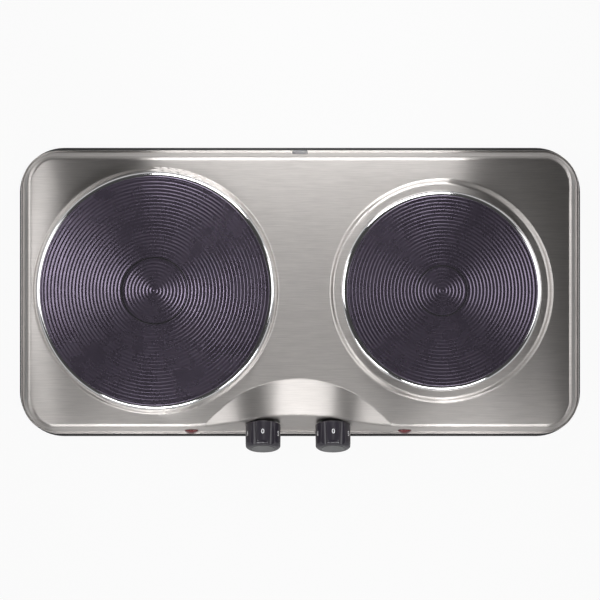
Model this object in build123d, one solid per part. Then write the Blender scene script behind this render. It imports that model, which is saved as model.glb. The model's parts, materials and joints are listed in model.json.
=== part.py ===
"""Double electric hot plate: a drawn steel body with two cast iron plates and two control knobs.

Millimetres, +Z up, the front with the knobs towards -Y. The pieces are drawn about the middle of
the body, and then moved together so that the origin is the middle of the footprint, on the table.
"""

import math
import os
from collections import namedtuple

from build123d import *

# Heights of the stack, from the table up
foot_height = 8.0
tray_gauge = 1.0
hem_depth = 4.0
shell_height = 47.0
collar_height = 3.2
plate_rise = 8.0

# Drawn steel body: foot of the walls, draft of the walls, corners, gauge and bottom lip
shell_length = 462.0
shell_depth = 233.0
shell_corner = 29.5
side_draft = 12.7
front_draft = 8.3
crown_corner = 21.0
crown_fillet = 4.0
steel_gauge = 0.8
lip_width = 1.8
lip_gauge = 0.8
lip_fillet = 0.5

# Front of the body: the panel bows in under a scoop that slopes down to the knobs
controls_x = -1.6
bow_depth = 14.0
bow_half_width = 92.0
scoop_slope = 20.0
scoop_reach = 39.6
scoop_floor_half = 40.0
scoop_floor_radius = 258.0
scoop_flank_radius = 176.0
scoop_flank_angle = 22.0

# Cast iron plates, their trim rings and the raised collars of the body that carry them
Burner = namedtuple("Burner", "name side diameter end_margin ring_width land_width step_width mark_radius")
burners = [
    Burner(
        name="large",
        side=-1,
        diameter=185.0,
        end_margin=3.5,
        ring_width=3.8,
        land_width=0.2,
        step_width=3.8,
        mark_radius=26.5,
    ),
    Burner(
        name="small",
        side=1,
        diameter=154.0,
        end_margin=15.0,
        ring_width=3.9,
        land_width=4.6,
        step_width=5.8,
        mark_radius=20.0,
    ),
]
burner_y = 1.0
plate_thickness = 15.0
plate_edge_fillet = 1.2
plate_rim = 9.0
channel_depth = 8.0
boss_radius = 20.0
mark_width = 1.2
mark_depth = 0.4
ring_gauge = 0.8
ring_crown = 2.2
ring_skirt = 4.0
ring_fit = 0.15
opening_clearance = 0.4

# Heater, heat shield and clamp under each plate
element_thickness = 7.0
element_clearance = 0.6
terminal_radius = 1.75
terminal_spread = 14.0
terminal_length = 24.0
bead_radius = 4.5
bead_flange = 1.5
bead_length = 6.0
bead_fit = 0.15
shield_gauge = 0.8
shield_margin = 2.5
shield_drop = 8.0
shield_slope_width = 8.0
bar_width = 18.0
bar_gauge = 2.0
bar_bend = 4.0
bar_clearance = 0.3
stud_radius = 3.0
stud_depth = 7.0
stud_tail = 2.5
stud_chamfer = 0.6
thread_fit = 0.05
washer_radius = 7.0
washer_gauge = 1.2
nut_across_flats = 10.0
nut_height = 5.0

# Base tray
ledge_side = 1.3
ledge_front = 2.2
tray_corner = 37.0
tray_bend = 1.5
vent_count = 10
vent_length = 24.0
vent_width = 4.5
vent_ring_radius = 48.0

# Feet and fasteners
foot_top_radius = 10.0
foot_bottom_radius = 8.5
foot_edge_fillet = 1.0
foot_inset_x = 38.0
foot_inset_y = 30.0
screw_radius = 2.0
screw_head_radius = 3.8
screw_head_height = 1.8
screw_head_fillet = 0.6
screw_hole_clearance = 0.2
foot_screw_recess = 4.0
foot_recess_clearance = 0.4
screw_reach = 4.0
tab_width = 14.0
tab_gauge = 1.5
tab_foot = 13.0
tab_height = 13.0
tab_fit = 0.05
tab_spacing = 330.0

# Knobs, spindles and thermostats, one to each side of the middle of the controls
sides = {"left": -1, "right": 1}
knob_spacing = 57.3
knob_height = 32.0
knob_radius = 14.5
knob_length = 19.7
knob_clearance = 0.5
knob_wall = 2.2
knob_cavity = 11.0
knob_nose_radius = 10.6
knob_nose_length = 3.4
knob_base_fillet = 0.6
hub_radius = 5.6
hub_setback = 0.8
flute_count = 6
flute_radius = 4.2
flute_base_depth = 0.4
flute_nose_depth = 1.5
cap_radius = 9.4
cap_thickness = 1.6
cap_seat = 1.1
cap_fit = 0.1
cap_edge_fillet = 0.4
spindle_radius = 3.0
spindle_flat = 1.0
spindle_into_knob = 13.0
spindle_into_thermostat = 12.0
spindle_end_gap = 0.3
running_fit = 0.05
bush_radius = 4.6
bush_proud = 0.8
bush_hole_clearance = 0.3
thermostat_plate = (27.0, 17.0)
thermostat_plate_gauge = 1.2
thermostat_body = (21.0, 17.0, 15.0)
thermostat_body_fillet = 1.5
thermostat_seat = 0.3
thermostat_tab = (6.3, 0.8, 8.0)
thermostat_tab_spacing = 12.0
thermostat_screw_spacing = 19.0
thermostat_screw_radius = 1.5
thermostat_screw_head = (2.6, 1.1)

# Indicator lamps
lamp_spacing = 175.4
lamp_height = 30.0
lens_radius = 4.4
lens_flange_radius = 5.6
lens_flange = 0.8
lens_dome = 2.4
lens_stem = 6.0
lamp_seat = 0.1
lamp_hole_clearance = 0.2
holder_radius = 5.4
holder_length = 16.0
holder_fit = 0.1
holder_fillet = 1.0
lamp_pin_radius = 0.8
lamp_pin_length = 7.0
lamp_pin_spacing = 5.0

# Cord gland in the back wall
gland_height = 24.0
gland_bore_radius = 3.6
gland_neck_radius = 5.0
gland_flange_radius = 6.4
gland_outer_flange = 2.6
gland_inner_flange = 2.5
gland_fit = 0.1
gland_edge_fillet = 0.8

# Terminal block on the tray, between the plates and the back wall
block_size = (36.0, 20.0, 14.0)
block_x = 8.0
block_back_gap = 34.0
block_poles = 3
block_fillet = 1.2
pole_pitch = 11.0
pole_radius = 2.8
pole_bore_radius = 1.8
pole_fit = 0.1
pole_screw_radius = 1.4
pole_screw_head = (2.3, 1.6)

# Length of the round tools that pass right through a sheet, and how near a level an edge lies on it
punch_length = 12.0
edge_tolerance = 0.01

# How a solid is placed on its spot: standing on its base, or hanging from its top
standing = (Align.CENTER, Align.CENTER, Align.MIN)
hanging = (Align.CENTER, Align.CENTER, Align.MAX)

# Levels and runs that follow from the sizes above
shell_bottom = foot_height + tray_gauge
deck = shell_bottom + shell_height
collar_top = deck + collar_height
plate_top = collar_top + plate_rise
plate_bottom = plate_top - plate_thickness
side_run = shell_height * math.tan(math.radians(side_draft))
front_run = shell_height * math.tan(math.radians(front_draft))
crown_length = shell_length - 2 * side_run
crown_depth = shell_depth - 2 * front_run
tray_length = shell_length + 2 * (lip_width + ledge_side)
tray_depth = shell_depth + 2 * (lip_width + ledge_front)
tray_top = shell_bottom
shield_floor = plate_bottom - shield_drop
bar_top = shield_floor
bar_bottom = bar_top - bar_gauge
washer_bottom = bar_bottom - washer_gauge
nut_bottom = washer_bottom - nut_height
tab_screw_inset = steel_gauge + tab_fit + (tab_foot + tab_gauge) / 2
bow_radius = (bow_half_width**2 + bow_depth**2) / (4 * bow_depth)


def bow_rise(distance):
    """Height of one of the bow's arcs above its end tangent, at a distance along that tangent."""
    return bow_radius - math.sqrt(bow_radius**2 - distance**2)


def bow_at(offset):
    """Depth of the bow at deck level, at an offset sideways from the middle of the controls."""
    offset = abs(offset)
    if offset < bow_half_width / 2:
        return bow_depth - bow_rise(offset)
    if offset < bow_half_width:
        return bow_rise(bow_half_width - offset)
    return 0.0


def panel_recess(offset, height):
    """How far the face of the panel lies behind its foot."""
    share = (height - shell_bottom) / shell_height
    return share * (front_run + bow_at(offset))


def panel_frame(offset, height):
    """Frame on the front of the body, with local Z straight out of the panel."""
    lean = math.atan2(front_run + bow_at(offset), shell_height)
    origin = (controls_x + offset, -shell_depth / 2 + panel_recess(offset, height), height)
    return Plane(origin=origin, x_dir=(1, 0, 0), z_dir=(0, -math.cos(lean), math.sin(lean)))


def panel_swell(offset, reach, height):
    """How far the bowed panel stands out in front of a spot, within a reach to either side."""
    spot = panel_recess(offset, height)
    return max(spot - panel_recess(offset + k * reach, height) for k in (-1, 0, 1))


def panel_sink(offset, reach, height):
    """How far the bowed panel falls back behind a spot, within a reach to either side."""
    spot = panel_recess(offset, height)
    return max(panel_recess(offset + k * reach, height) - spot for k in (-1, 0, 1))


def revolved(points):
    """Solid turned about Z from a closed outline of straight lines in the XZ plane."""
    return revolve(make_face(Polyline(*[(r, 0, z) for r, z in points], close=True)), Axis.Z)


def rounded_slab(length, depth, corner, bottom, top):
    """Upright slab with rounded corners between two levels."""
    return Pos(0, 0, bottom) * extrude(RectangleRounded(length, depth, corner), top - bottom)


def outline_edges(length, depth, corner, bow, level):
    """Edges of the body's outline at one level; the front edge bows in at the controls."""
    half_x = length / 2
    half_y = depth / 2
    quarter = bow_half_width / 2
    marks = [controls_x + k * quarter for k in (-2, -1, 1, 2)]
    if bow:
        middles = [controls_x + k * quarter for k in (-1.5, 0, 1.5)]
        depths = [0, bow / 2, bow / 2, 0]
        radius = (bow_half_width**2 + bow**2) / (4 * bow)
        shallow = radius - math.sqrt(radius**2 - (quarter / 2) ** 2)
        middle_depths = [shallow, bow, shallow]
        corners = [(x, -half_y + d) for x, d in zip(marks, depths)]
        crests = [(x, -half_y + d) for x, d in zip(middles, middle_depths)]
        front = [ThreePointArc(corners[k], crests[k], corners[k + 1]) for k in range(3)]
    else:
        corners = [(x, -half_y) for x in marks]
        front = [Line(corners[k], corners[k + 1]) for k in range(3)]
    inner_x = half_x - corner
    inner_y = half_y - corner
    edges = [
        Line((-inner_x, -half_y), corners[0]),
        *front,
        Line(corners[3], (inner_x, -half_y)),
        CenterArc((inner_x, -inner_y), corner, -90, 90),
        Line((half_x, -inner_y), (half_x, inner_y)),
        CenterArc((inner_x, inner_y), corner, 0, 90),
        Line((inner_x, half_y), (-inner_x, half_y)),
        CenterArc((-inner_x, inner_y), corner, 90, 90),
        Line((-half_x, inner_y), (-half_x, -inner_y)),
        CenterArc((-inner_x, -inner_y), corner, 180, 90),
    ]
    return [Pos(0, 0, level) * edge for edge in edges]


def drafted_block(inset):
    """Block inside the drafted walls, all of its faces drawn in by the inset."""
    share = inset / shell_height
    lower = outline_edges(
        shell_length - 2 * inset,
        shell_depth - 2 * inset,
        shell_corner - inset,
        0,
        shell_bottom,
    )
    upper = outline_edges(
        crown_length + 2 * share * side_run - 2 * inset,
        crown_depth + 2 * share * front_run - 2 * inset,
        crown_corner + share * (shell_corner - crown_corner) - inset,
        bow_depth * (1 - share),
        deck - inset,
    )
    walls = [Face.make_surface_from_curves(low.edge(), high.edge()) for low, high in zip(lower, upper)]
    ends = [make_face(Curve() + edges).face() for edges in (lower, upper)]
    return Solid(Shell(walls + ends))


def scoop(inset):
    """Tool for the scoop: a dished section run down the slope towards the knobs."""
    slope = math.radians(scoop_slope)
    apex = (controls_x, -crown_depth / 2 + scoop_reach, deck)
    frame = Plane(origin=apex, x_dir=(1, 0, 0), z_dir=(0, -math.cos(slope), -math.sin(slope)))
    start = math.asin(scoop_floor_half / scoop_floor_radius)
    floor_edge = (scoop_floor_half, scoop_floor_radius * (1 - math.cos(start)))
    centre_x = floor_edge[0] - scoop_flank_radius * math.sin(start)
    centre_y = floor_edge[1] + scoop_flank_radius * math.cos(start)

    def flank(share):
        angle = start + share * math.radians(scoop_flank_angle)
        return (
            centre_x + scoop_flank_radius * math.sin(angle),
            centre_y - scoop_flank_radius * math.cos(angle),
        )

    def mirrored(point):
        return (-point[0], point[1])

    middle = flank(0.5)
    end = flank(1.0)
    headroom = (end[0], shell_height)
    section = make_face(
        Curve()
        + [
            ThreePointArc(mirrored(floor_edge), (0, 0), floor_edge),
            ThreePointArc(floor_edge, middle, end),
            Line(end, headroom),
            Line(headroom, mirrored(headroom)),
            Line(mirrored(headroom), mirrored(end)),
            ThreePointArc(mirrored(end), mirrored(middle), mirrored(floor_edge)),
        ]
    )
    return extrude(frame * (Pos(0, -inset, -scoop_reach) * section), 4 * scoop_reach, dir=frame.z_dir)


def crown_edges(form, level):
    """Edges round the deck, down the scoop's rim and along the brow over the knobs."""
    brow_back = -crown_depth / 2 + bow_depth
    chosen = []
    for edge in form.edges():
        box = edge.bounding_box()
        level_edge = box.min.Z > level - edge_tolerance
        brow_edge = (
            box.min.Z > level - scoop_reach * math.tan(math.radians(scoop_slope))
            and box.max.Y < brow_back
            and box.size.Z < box.size.X
        )
        if level_edge or brow_edge:
            chosen.append(edge)
    return chosen


def plate_radius(burner):
    return burner.diameter / 2


def ring_inner(burner):
    return plate_radius(burner) + ring_fit


def ring_outer(burner):
    return plate_radius(burner) + burner.ring_width


def land_radius(burner):
    return ring_outer(burner) + burner.land_width


def collar_radius(burner):
    return land_radius(burner) + burner.step_width


def opening_radius(burner):
    return ring_inner(burner) + ring_gauge + opening_clearance


def at_burner(burner, piece):
    """Piece drawn about a plate's own axis, moved to the plate's place."""
    reach = crown_length / 2 - burner.end_margin - collar_radius(burner)
    return Pos(burner.side * reach, burner_y, 0) * piece


def collar(burner, inset):
    """Raised round of the deck under a plate: a flat land and an S shaped step down to the deck."""
    step = burner.step_width
    radius = (step**2 + collar_height**2) / (4 * collar_height)
    turn = 2 * math.atan2(collar_height, step)
    land = land_radius(burner)
    base = collar_radius(burner)

    def crest(angle):
        r = radius - inset
        return (land + r * math.sin(angle), 0, collar_top - radius + r * math.cos(angle))

    def valley(angle):
        r = radius + inset
        return (base - r * math.sin(angle), 0, deck + radius - r * math.cos(angle))

    root = deck - inset - steel_gauge
    section = make_face(
        Curve()
        + [
            Line((0, 0, collar_top - inset), crest(0)),
            ThreePointArc(crest(0), crest(turn / 2), crest(turn)),
            ThreePointArc(valley(turn), valley(turn / 2), valley(0)),
            Line(valley(0), (base, 0, root)),
            Line((base, 0, root), (0, 0, root)),
            Line((0, 0, root), (0, 0, collar_top - inset)),
        ]
    )
    return at_burner(burner, revolve(section, Axis.Z))


def body_form(inset):
    """Whole body as a solid form, drawn in by the inset: the steel lies between two such forms."""
    form = drafted_block(inset) - scoop(inset)
    form = fillet(crown_edges(form, deck - inset), crown_fillet - inset)
    for burner in burners:
        form += collar(burner, inset)
    return form


def lipped_form():
    """Body form with a lip turned outwards round the foot of its walls."""
    lip = rounded_slab(
        shell_length + 2 * lip_width,
        shell_depth + 2 * lip_width,
        shell_corner + lip_width,
        shell_bottom,
        shell_bottom + lip_gauge,
    )
    form = body_form(0) + lip
    level = shell_bottom + lip_gauge
    rounds = form.edges().filter_by_position(Axis.Z, level - lip_fillet, level + lip_fillet)
    return fillet(rounds, lip_fillet)


def knob_frame(side):
    return panel_frame(side * knob_spacing / 2, knob_height)


def lamp_frame(side):
    return panel_frame(side * lamp_spacing / 2, lamp_height)


def gland_frame():
    """Frame on the back wall at the cord inlet, with local Z straight out of the wall."""
    lean = math.radians(front_draft)
    origin = (0, shell_depth / 2 - (gland_height - shell_bottom) * math.tan(lean), gland_height)
    return Plane(origin=origin, x_dir=(-1, 0, 0), z_dir=(0, math.cos(lean), math.sin(lean)))


def punch(radius):
    """Round tool that passes right through a sheet at the origin."""
    return Cylinder(radius, punch_length)


def top_shell():
    """Drawn steel body with its openings for plates, bushes, screws, lamps and the cord."""
    shell = lipped_form() - body_form(steel_gauge)
    for burner in burners:
        shell -= at_burner(burner, Pos(0, 0, deck) * Cylinder(opening_radius(burner), 2 * shell_height))
    for side in sides.values():
        frame = knob_frame(side)
        shell -= frame * punch(bush_radius + bush_hole_clearance)
        for screw in (-1, 1):
            spot = frame * Pos(screw * thermostat_screw_spacing / 2, 0, 0)
            shell -= spot * punch(thermostat_screw_radius + screw_hole_clearance)
        shell -= lamp_frame(side) * punch(lens_radius + lamp_hole_clearance)
    shell -= gland_frame() * punch(gland_neck_radius + gland_fit)
    return shell


def plate(burner):
    """Cast plate: flat cooking face with a ring mark, a rim, a heater channel and a centre boss."""
    radius = plate_radius(burner)
    channel_top = plate_bottom + channel_depth
    body = Pos(0, 0, plate_bottom) * Cylinder(radius, plate_thickness, align=standing)
    body = fillet(body.edges().group_by(Axis.Z)[-1], plate_edge_fillet)
    body -= revolved(
        [
            (boss_radius, plate_bottom),
            (radius - plate_rim, plate_bottom),
            (radius - plate_rim, channel_top),
            (boss_radius, channel_top),
        ]
    )
    body -= revolved(
        [
            (burner.mark_radius - mark_width / 2, plate_top),
            (burner.mark_radius + mark_width / 2, plate_top),
            (burner.mark_radius, plate_top - mark_depth),
        ]
    )
    body -= Pos(0, 0, plate_bottom) * Cylinder(stud_radius + thread_fit, 2 * stud_depth)
    return at_burner(burner, body)


def trim_ring(burner):
    """Pressed ring round a plate: a skirt inside the collar and a crowned flange that sits on it."""
    inner = ring_inner(burner)
    outer = ring_outer(burner)
    width = outer - inner
    radius = (width**2 + ring_crown**2) / (2 * ring_crown)
    turn = math.asin(width / radius)
    centre = collar_top - (radius - ring_gauge) * math.cos(turn)

    def arc_point(r, angle):
        return (inner + r * math.sin(angle), 0, centre + r * math.cos(angle))

    under = radius - ring_gauge
    skirt_turn = math.asin(ring_gauge / under)
    middle_turn = (turn + skirt_turn) / 2
    skirt_end = collar_top - ring_skirt
    section = make_face(
        Curve()
        + [
            ThreePointArc(*[arc_point(radius, angle) for angle in (0, turn / 2, turn)]),
            Line(arc_point(radius, turn), arc_point(under, turn)),
            ThreePointArc(*[arc_point(under, angle) for angle in (turn, middle_turn, skirt_turn)]),
            Line(arc_point(under, skirt_turn), (inner + ring_gauge, 0, skirt_end)),
            Line((inner + ring_gauge, 0, skirt_end), (inner, 0, skirt_end)),
            Line((inner, 0, skirt_end), arc_point(radius, 0)),
        ]
    )
    return at_burner(burner, revolve(section, Axis.Z))


def terminal_spots(burner):
    """Places of a heater's two terminals, on the side that faces the middle of the body."""
    reach = (boss_radius + plate_radius(burner) - plate_rim) / 2
    return [(-burner.side * reach, k * terminal_spread / 2) for k in (-1, 1)]


def element(burner):
    """Ring of cement with the heating wire inside, seated against the roof of the channel."""
    roof = plate_bottom + channel_depth
    outer = plate_radius(burner) - plate_rim - element_clearance
    inner = boss_radius + element_clearance
    body = revolved(
        [
            (inner, roof),
            (outer, roof),
            (outer, roof - element_thickness),
            (inner, roof - element_thickness),
        ]
    )
    return at_burner(burner, body)


def terminals(burner):
    """Two pins that bring the heating wire out of the cement, down through the shield."""
    top = plate_bottom + channel_depth - element_thickness
    pin = Pos(0, 0, top) * Cylinder(terminal_radius, terminal_length, align=hanging)
    return at_burner(burner, Part() + [Pos(x, y, 0) * pin for x, y in terminal_spots(burner)])


def beads(burner):
    """Two ceramic beads that keep the terminal pins off the shield."""
    seat = shield_floor + shield_gauge
    inner = terminal_radius + bead_fit
    bead = revolved(
        [
            (inner, seat + bead_flange),
            (bead_radius + bead_flange, seat + bead_flange),
            (bead_radius + bead_flange, seat),
            (bead_radius, seat),
            (bead_radius, seat - bead_length),
            (inner, seat - bead_length),
        ]
    )
    return at_burner(burner, Part() + [Pos(x, y, 0) * bead for x, y in terminal_spots(burner)])


def heat_shield(burner):
    """Dished sheet under a plate: its flange meets the rim, its floor takes the clamp bar."""
    flange = plate_radius(burner) - shield_margin
    bend = plate_radius(burner) - plate_rim
    floor = bend - shield_slope_width
    body = revolved(
        [
            (0, shield_floor),
            (floor, shield_floor),
            (bend, plate_bottom - shield_gauge),
            (flange, plate_bottom - shield_gauge),
            (flange, plate_bottom),
            (bend - shield_gauge, plate_bottom),
            (floor - shield_gauge, shield_floor + shield_gauge),
            (0, shield_floor + shield_gauge),
        ]
    )
    body -= Pos(0, 0, shield_floor) * punch(stud_radius + screw_hole_clearance)
    for x, y in terminal_spots(burner):
        body -= Pos(x, y, shield_floor) * punch(bead_radius + bead_fit)
    return at_burner(burner, body)


def clamp_bar(burner):
    """Bent strip that bears up under the collar at both ends while the stud pulls the plate down."""
    outer = math.sqrt(land_radius(burner) ** 2 - (bar_width / 2) ** 2) - bar_clearance
    inner = outer - bar_gauge
    top = collar_top - steel_gauge
    strip = Rectangle(2 * outer, top - bar_bottom, align=(Align.CENTER, Align.MIN))
    strip -= Pos(0, bar_gauge) * Rectangle(2 * inner, top - bar_bottom, align=(Align.CENTER, Align.MIN))
    section = Plane.YZ * (Pos(0, bar_bottom) * strip)
    bar = extrude(section, bar_width / 2, both=True)
    bends = bar.edges().filter_by(Axis.X).group_by(Axis.Z)[0]
    bar = fillet(bends, bar_bend)
    bar -= Pos(0, 0, bar_bottom) * punch(stud_radius + screw_hole_clearance)
    return at_burner(burner, bar)


def stud(burner):
    """Threaded rod from the boss of the plate down through shield, bar, washer and nut."""
    top = plate_bottom + stud_depth
    bottom = nut_bottom - stud_tail
    rod = Pos(0, 0, bottom) * Cylinder(stud_radius, top - bottom, align=standing)
    return at_burner(burner, chamfer(rod.edges().group_by(Axis.Z)[0], stud_chamfer))


def clamp_washers():
    washer = revolved(
        [
            (stud_radius + screw_hole_clearance, washer_bottom),
            (washer_radius, washer_bottom),
            (washer_radius, bar_bottom),
            (stud_radius + screw_hole_clearance, bar_bottom),
        ]
    )
    return Part() + [at_burner(burner, washer) for burner in burners]


def clamp_nuts():
    hexagon = RegularPolygon(nut_across_flats / 2, 6, major_radius=False) - Circle(stud_radius + thread_fit)
    nut = Pos(0, 0, nut_bottom) * extrude(hexagon, nut_height)
    return Part() + [at_burner(burner, nut) for burner in burners]


def foot_spots():
    reach_x = tray_length / 2 - foot_inset_x
    reach_y = tray_depth / 2 - foot_inset_y
    return {
        "front_left": (-reach_x, -reach_y),
        "front_right": (reach_x, -reach_y),
        "back_left": (-reach_x, reach_y),
        "back_right": (reach_x, reach_y),
    }


def tab_section(draft):
    """Section of a welded tab: a leg along the inside of the wall and a foot on the tray."""
    lean = math.tan(math.radians(draft))
    back = -(steel_gauge + tab_fit)
    return [
        (back, shell_bottom),
        (back - tab_height * lean, shell_bottom + tab_height),
        (back - tab_height * lean - tab_gauge, shell_bottom + tab_height),
        (back - tab_gauge - tab_gauge * lean, shell_bottom + tab_gauge),
        (back - tab_foot, shell_bottom + tab_gauge),
        (back - tab_foot, shell_bottom),
    ]


def tab_frames():
    """Turn and foot of the wall for each tab, with local X out of the body, and the wall's draft."""
    frames = []
    for x in (-tab_spacing / 2, tab_spacing / 2):
        frames.append((Pos(x, shell_depth / 2, 0) * Rot(0, 0, 90), front_draft))
        frames.append((Pos(x, -shell_depth / 2, 0) * Rot(0, 0, -90), front_draft))
    frames.append((Pos(shell_length / 2, 0, 0), side_draft))
    frames.append((Pos(-shell_length / 2, 0, 0) * Rot(0, 0, 180), side_draft))
    return frames


def shell_tabs():
    """Angle tabs welded inside the walls, for the screws of the tray."""
    pieces = []
    for frame, draft in tab_frames():
        section = make_face(Polyline(*[(x, 0, z) for x, z in tab_section(draft)], close=True))
        tab = extrude(section, tab_width / 2, both=True)
        tab -= Pos(-tab_screw_inset, 0, shell_bottom) * punch(screw_radius + thread_fit)
        pieces.append(frame * tab)
    return Part() + pieces


def pan_screw(head_level, length):
    """Screw that points up, with its head below the given level."""
    shank = Pos(0, 0, head_level) * Cylinder(screw_radius, length, align=standing)
    head = Pos(0, 0, head_level) * Cylinder(screw_head_radius, screw_head_height, align=hanging)
    head = fillet(head.edges().group_by(Axis.Z)[0], screw_head_fillet)
    return shank + head


def tray_screws():
    screw = pan_screw(foot_height, tray_gauge + tab_gauge + screw_reach)
    return Part() + [frame * Pos(-tab_screw_inset, 0, 0) * screw for frame, draft in tab_frames()]


def foot_screws():
    screw = pan_screw(foot_screw_recess, foot_height - foot_screw_recess + tray_gauge + screw_reach)
    return Part() + [Pos(x, y, 0) * screw for x, y in foot_spots().values()]


def foot(spot):
    """Tapered rubber foot with a recess for its screw."""
    recess = screw_head_radius + foot_recess_clearance
    body = revolved(
        [
            (screw_radius + screw_hole_clearance, foot_height),
            (foot_top_radius, foot_height),
            (foot_bottom_radius, 0),
            (recess, 0),
            (recess, foot_screw_recess),
            (screw_radius + screw_hole_clearance, foot_screw_recess),
        ]
    )
    rim = [edge for edge in body.edges().group_by(Axis.Z)[0] if edge.radius > recess + foot_edge_fillet]
    return Pos(spot[0], spot[1], 0) * fillet(rim, foot_edge_fillet)


def block_place():
    return Pos(block_x, shell_depth / 2 - block_back_gap, tray_top)


def base_tray():
    """Painted sheet base with a turned down hem, vents under the plates and holes for its screws."""
    hem_bottom = foot_height - hem_depth
    tray = rounded_slab(tray_length, tray_depth, tray_corner, hem_bottom, tray_top)
    tray = fillet(tray.edges().group_by(Axis.Z)[-1], tray_bend)
    inside = rounded_slab(
        tray_length - 2 * tray_gauge,
        tray_depth - 2 * tray_gauge,
        tray_corner - tray_gauge,
        hem_bottom,
        foot_height,
    )
    inside = fillet(inside.edges().group_by(Axis.Z)[-1], tray_bend - tray_gauge)
    tray -= inside
    vent = extrude(SlotOverall(vent_length, vent_width), 2 * tray_gauge, both=True)
    vents = [loc * vent for loc in PolarLocations(vent_ring_radius, vent_count)]
    for burner in burners:
        tray -= at_burner(burner, Pos(0, 0, foot_height) * (Part() + vents))
    hole = Pos(0, 0, foot_height) * punch(screw_radius + screw_hole_clearance)
    for x, y in foot_spots().values():
        tray -= Pos(x, y, 0) * hole
    for frame, draft in tab_frames():
        tray -= frame * Pos(-tab_screw_inset, 0, 0) * hole
    for side in (-1, 1):
        tray -= block_place() * Pos(side * pole_pitch / 2, 0, -tray_top) * hole
    return tray


def knob_gap():
    """Gap from the panel to the back of a knob, wide enough for the bow of the panel."""
    return panel_swell(knob_spacing / 2, knob_radius, knob_height) + knob_clearance


def spindle_section(fit):
    """Round section with a flat on one side."""
    radius = spindle_radius + fit
    flat = spindle_radius - spindle_flat + fit
    cut = Pos(0, flat) * Rectangle(4 * radius, 4 * radius, align=(Align.CENTER, Align.MIN))
    return Circle(radius) - cut


def knob(side):
    """Moulded knob: a hollow fluted grip with a rounded nose, a hub for the spindle and a cap seat."""
    shoulder = knob_length - knob_nose_length
    section = make_face(
        Curve()
        + [
            Line((0, 0, 0), (knob_radius, 0, 0)),
            Line((knob_radius, 0, 0), (knob_radius, 0, shoulder)),
            TangentArc((knob_radius, 0, shoulder), (knob_nose_radius, 0, knob_length), tangent=(0, 0, 1)),
            Line((knob_nose_radius, 0, knob_length), (0, 0, knob_length)),
            Line((0, 0, knob_length), (0, 0, 0)),
        ]
    )
    body = revolve(section, Axis.Z)
    body = fillet(body.edges().group_by(Axis.Z)[0], knob_base_fillet)
    tilt = math.degrees(math.atan2(flute_nose_depth - flute_base_depth, shoulder))
    flute = Rot(0, -tilt, 0) * Cylinder(flute_radius, 4 * knob_length)
    flute = Pos(knob_radius + flute_radius - flute_base_depth, 0, 0) * flute
    for turn in PolarLocations(0, flute_count):
        body -= turn * flute
    cavity = Cylinder(knob_radius - knob_wall, knob_cavity, align=standing)
    hub = Pos(0, 0, hub_setback) * Cylinder(hub_radius, knob_cavity, align=standing)
    body = body - cavity + hub
    body -= extrude(spindle_section(running_fit), spindle_into_knob)
    seat = Cylinder(cap_radius + cap_fit, 2 * cap_seat)
    body -= Pos(0, 0, knob_length) * seat
    return knob_frame(side) * Pos(0, 0, knob_gap()) * body


def knob_cap(side):
    """Grey disc set into the face of a knob."""
    seat = knob_gap() + knob_length - cap_seat
    disc = Pos(0, 0, seat) * Cylinder(cap_radius, cap_thickness, align=standing)
    return knob_frame(side) * fillet(disc.edges().group_by(Axis.Z)[-1], cap_edge_fillet)


def panel_gauge(side):
    """Thickness of the panel square to its face: the sheet is drawn in level."""
    return steel_gauge * abs(knob_frame(side).z_dir.Y)


def thermostat_front(side):
    """Depth of a thermostat's mounting plate behind the face of the panel."""
    bow = panel_sink(knob_spacing / 2, thermostat_plate[0] / 2, knob_height)
    return panel_gauge(side) + bow + thermostat_seat


def thermostat(side):
    """Thermostat: mounting plate, rounded body and a bush through the panel for the spindle."""
    front = -thermostat_front(side)
    back = front - thermostat_plate_gauge
    mount = Pos(0, 0, back) * extrude(Rectangle(*thermostat_plate), thermostat_plate_gauge)
    case = Pos(0, 0, back) * Box(*thermostat_body, align=hanging)
    case = fillet(case.edges().filter_by(Axis.Z), thermostat_body_fillet)
    bush = Pos(0, 0, front) * Cylinder(bush_radius, bush_proud - front, align=standing)
    body = mount + case + bush
    well_bottom = back - spindle_into_thermostat - spindle_end_gap
    well = Cylinder(spindle_radius + running_fit, bush_proud - well_bottom, align=standing)
    body -= Pos(0, 0, well_bottom) * well
    for screw in (-1, 1):
        spot = Pos(screw * thermostat_screw_spacing / 2, 0, back)
        body -= spot * punch(thermostat_screw_radius + thread_fit)
    return knob_frame(side) * body


def thermostat_tabs(side):
    """Two blade terminals on the back of a thermostat."""
    back = -thermostat_front(side) - thermostat_plate_gauge - thermostat_body[2]
    blade = Pos(0, 0, back) * Box(*thermostat_tab, align=hanging)
    return knob_frame(side) * (Part() + [Pos(k * thermostat_tab_spacing / 2, 0, 0) * blade for k in (-1, 1)])


def spindle(side):
    """Spindle from inside the thermostat, through the bush, into the hub of the knob."""
    inner = -thermostat_front(side) - thermostat_plate_gauge - spindle_into_thermostat
    split = knob_gap() + hub_setback
    end = knob_gap() + spindle_into_knob - spindle_end_gap
    round_part = Pos(0, 0, inner) * Cylinder(spindle_radius, split - inner, align=standing)
    flat_part = Pos(0, 0, split) * extrude(spindle_section(0), end - split)
    return knob_frame(side) * (round_part + flat_part)


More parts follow.
